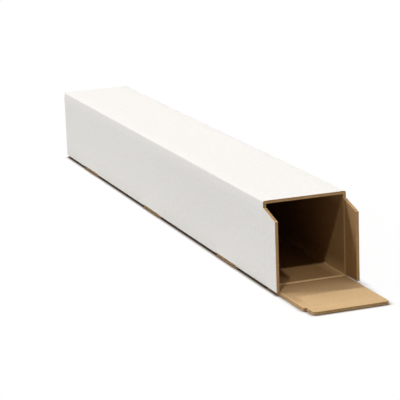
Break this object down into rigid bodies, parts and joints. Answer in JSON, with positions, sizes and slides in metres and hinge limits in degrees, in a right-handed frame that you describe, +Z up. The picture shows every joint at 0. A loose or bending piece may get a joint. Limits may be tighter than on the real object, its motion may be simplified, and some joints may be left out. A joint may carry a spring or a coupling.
{
  "type": "square cardboard mailing tube",
  "caption": "Long square mailing tube folded from white-faced corrugated board, with tuck-in end flaps, open at one end.",
  "frame": {"origin": "middle of the sleeve's underside, on the surface it lies on", "axes": "+Y along the tube from the open near end to the closed far end, +Z up, +X to the right seen from the open end"},
  "size_m": [0.0818, 0.7342, 0.0818],
  "materials": {
    "white_faced_board": "matt bleached white liner outside, natural kraft liner inside and at the raw edges"
  },
  "bodies": {
    "tube": {"sleeve": "white_faced_board", "far_left_dust_flap": "white_faced_board", "far_right_dust_flap": "white_faced_board"},
    "near_closure": {"near_closure_flap": "white_faced_board"},
    "near_tongue": {"near_tuck_tongue": "white_faced_board"},
    "near_left_dust": {"near_left_dust_flap": "white_faced_board"},
    "near_right_dust": {"near_right_dust_flap": "white_faced_board"},
    "far_closure": {"far_closure_flap": "white_faced_board", "far_tuck_tongue": "white_faced_board"}
  },
  "joints": [
    {"name": "near_closure_fold", "type": "hinge", "parent": "tube", "child": "near_closure", "pos_m": [0, -0.3222, 0.0014], "axis": [-1, 0, 0], "range_deg": [0, 90]},
    {"name": "near_tongue_fold", "type": "hinge", "parent": "near_closure", "child": "near_tongue", "pos_m": [0, -0.3981, 0.0014], "axis": [-1, 0, 0], "range_deg": [0, 90]},
    {"name": "near_left_dust_fold", "type": "hinge", "parent": "tube", "child": "near_left_dust", "pos_m": [-0.0395, -0.3191, 0.04], "axis": [0, 0, 1], "range_deg": [0, 90]},
    {"name": "near_right_dust_fold", "type": "hinge", "parent": "tube", "child": "near_right_dust", "pos_m": [0.0395, -0.3191, 0.04], "axis": [0, 0, -1], "range_deg": [0, 90]},
    {"name": "far_closure_fold", "type": "hinge", "parent": "tube", "child": "far_closure", "pos_m": [0, 0.3222, 0.0014], "axis": [-1, 0, 0], "range_deg": [0, 90]}
  ]
}
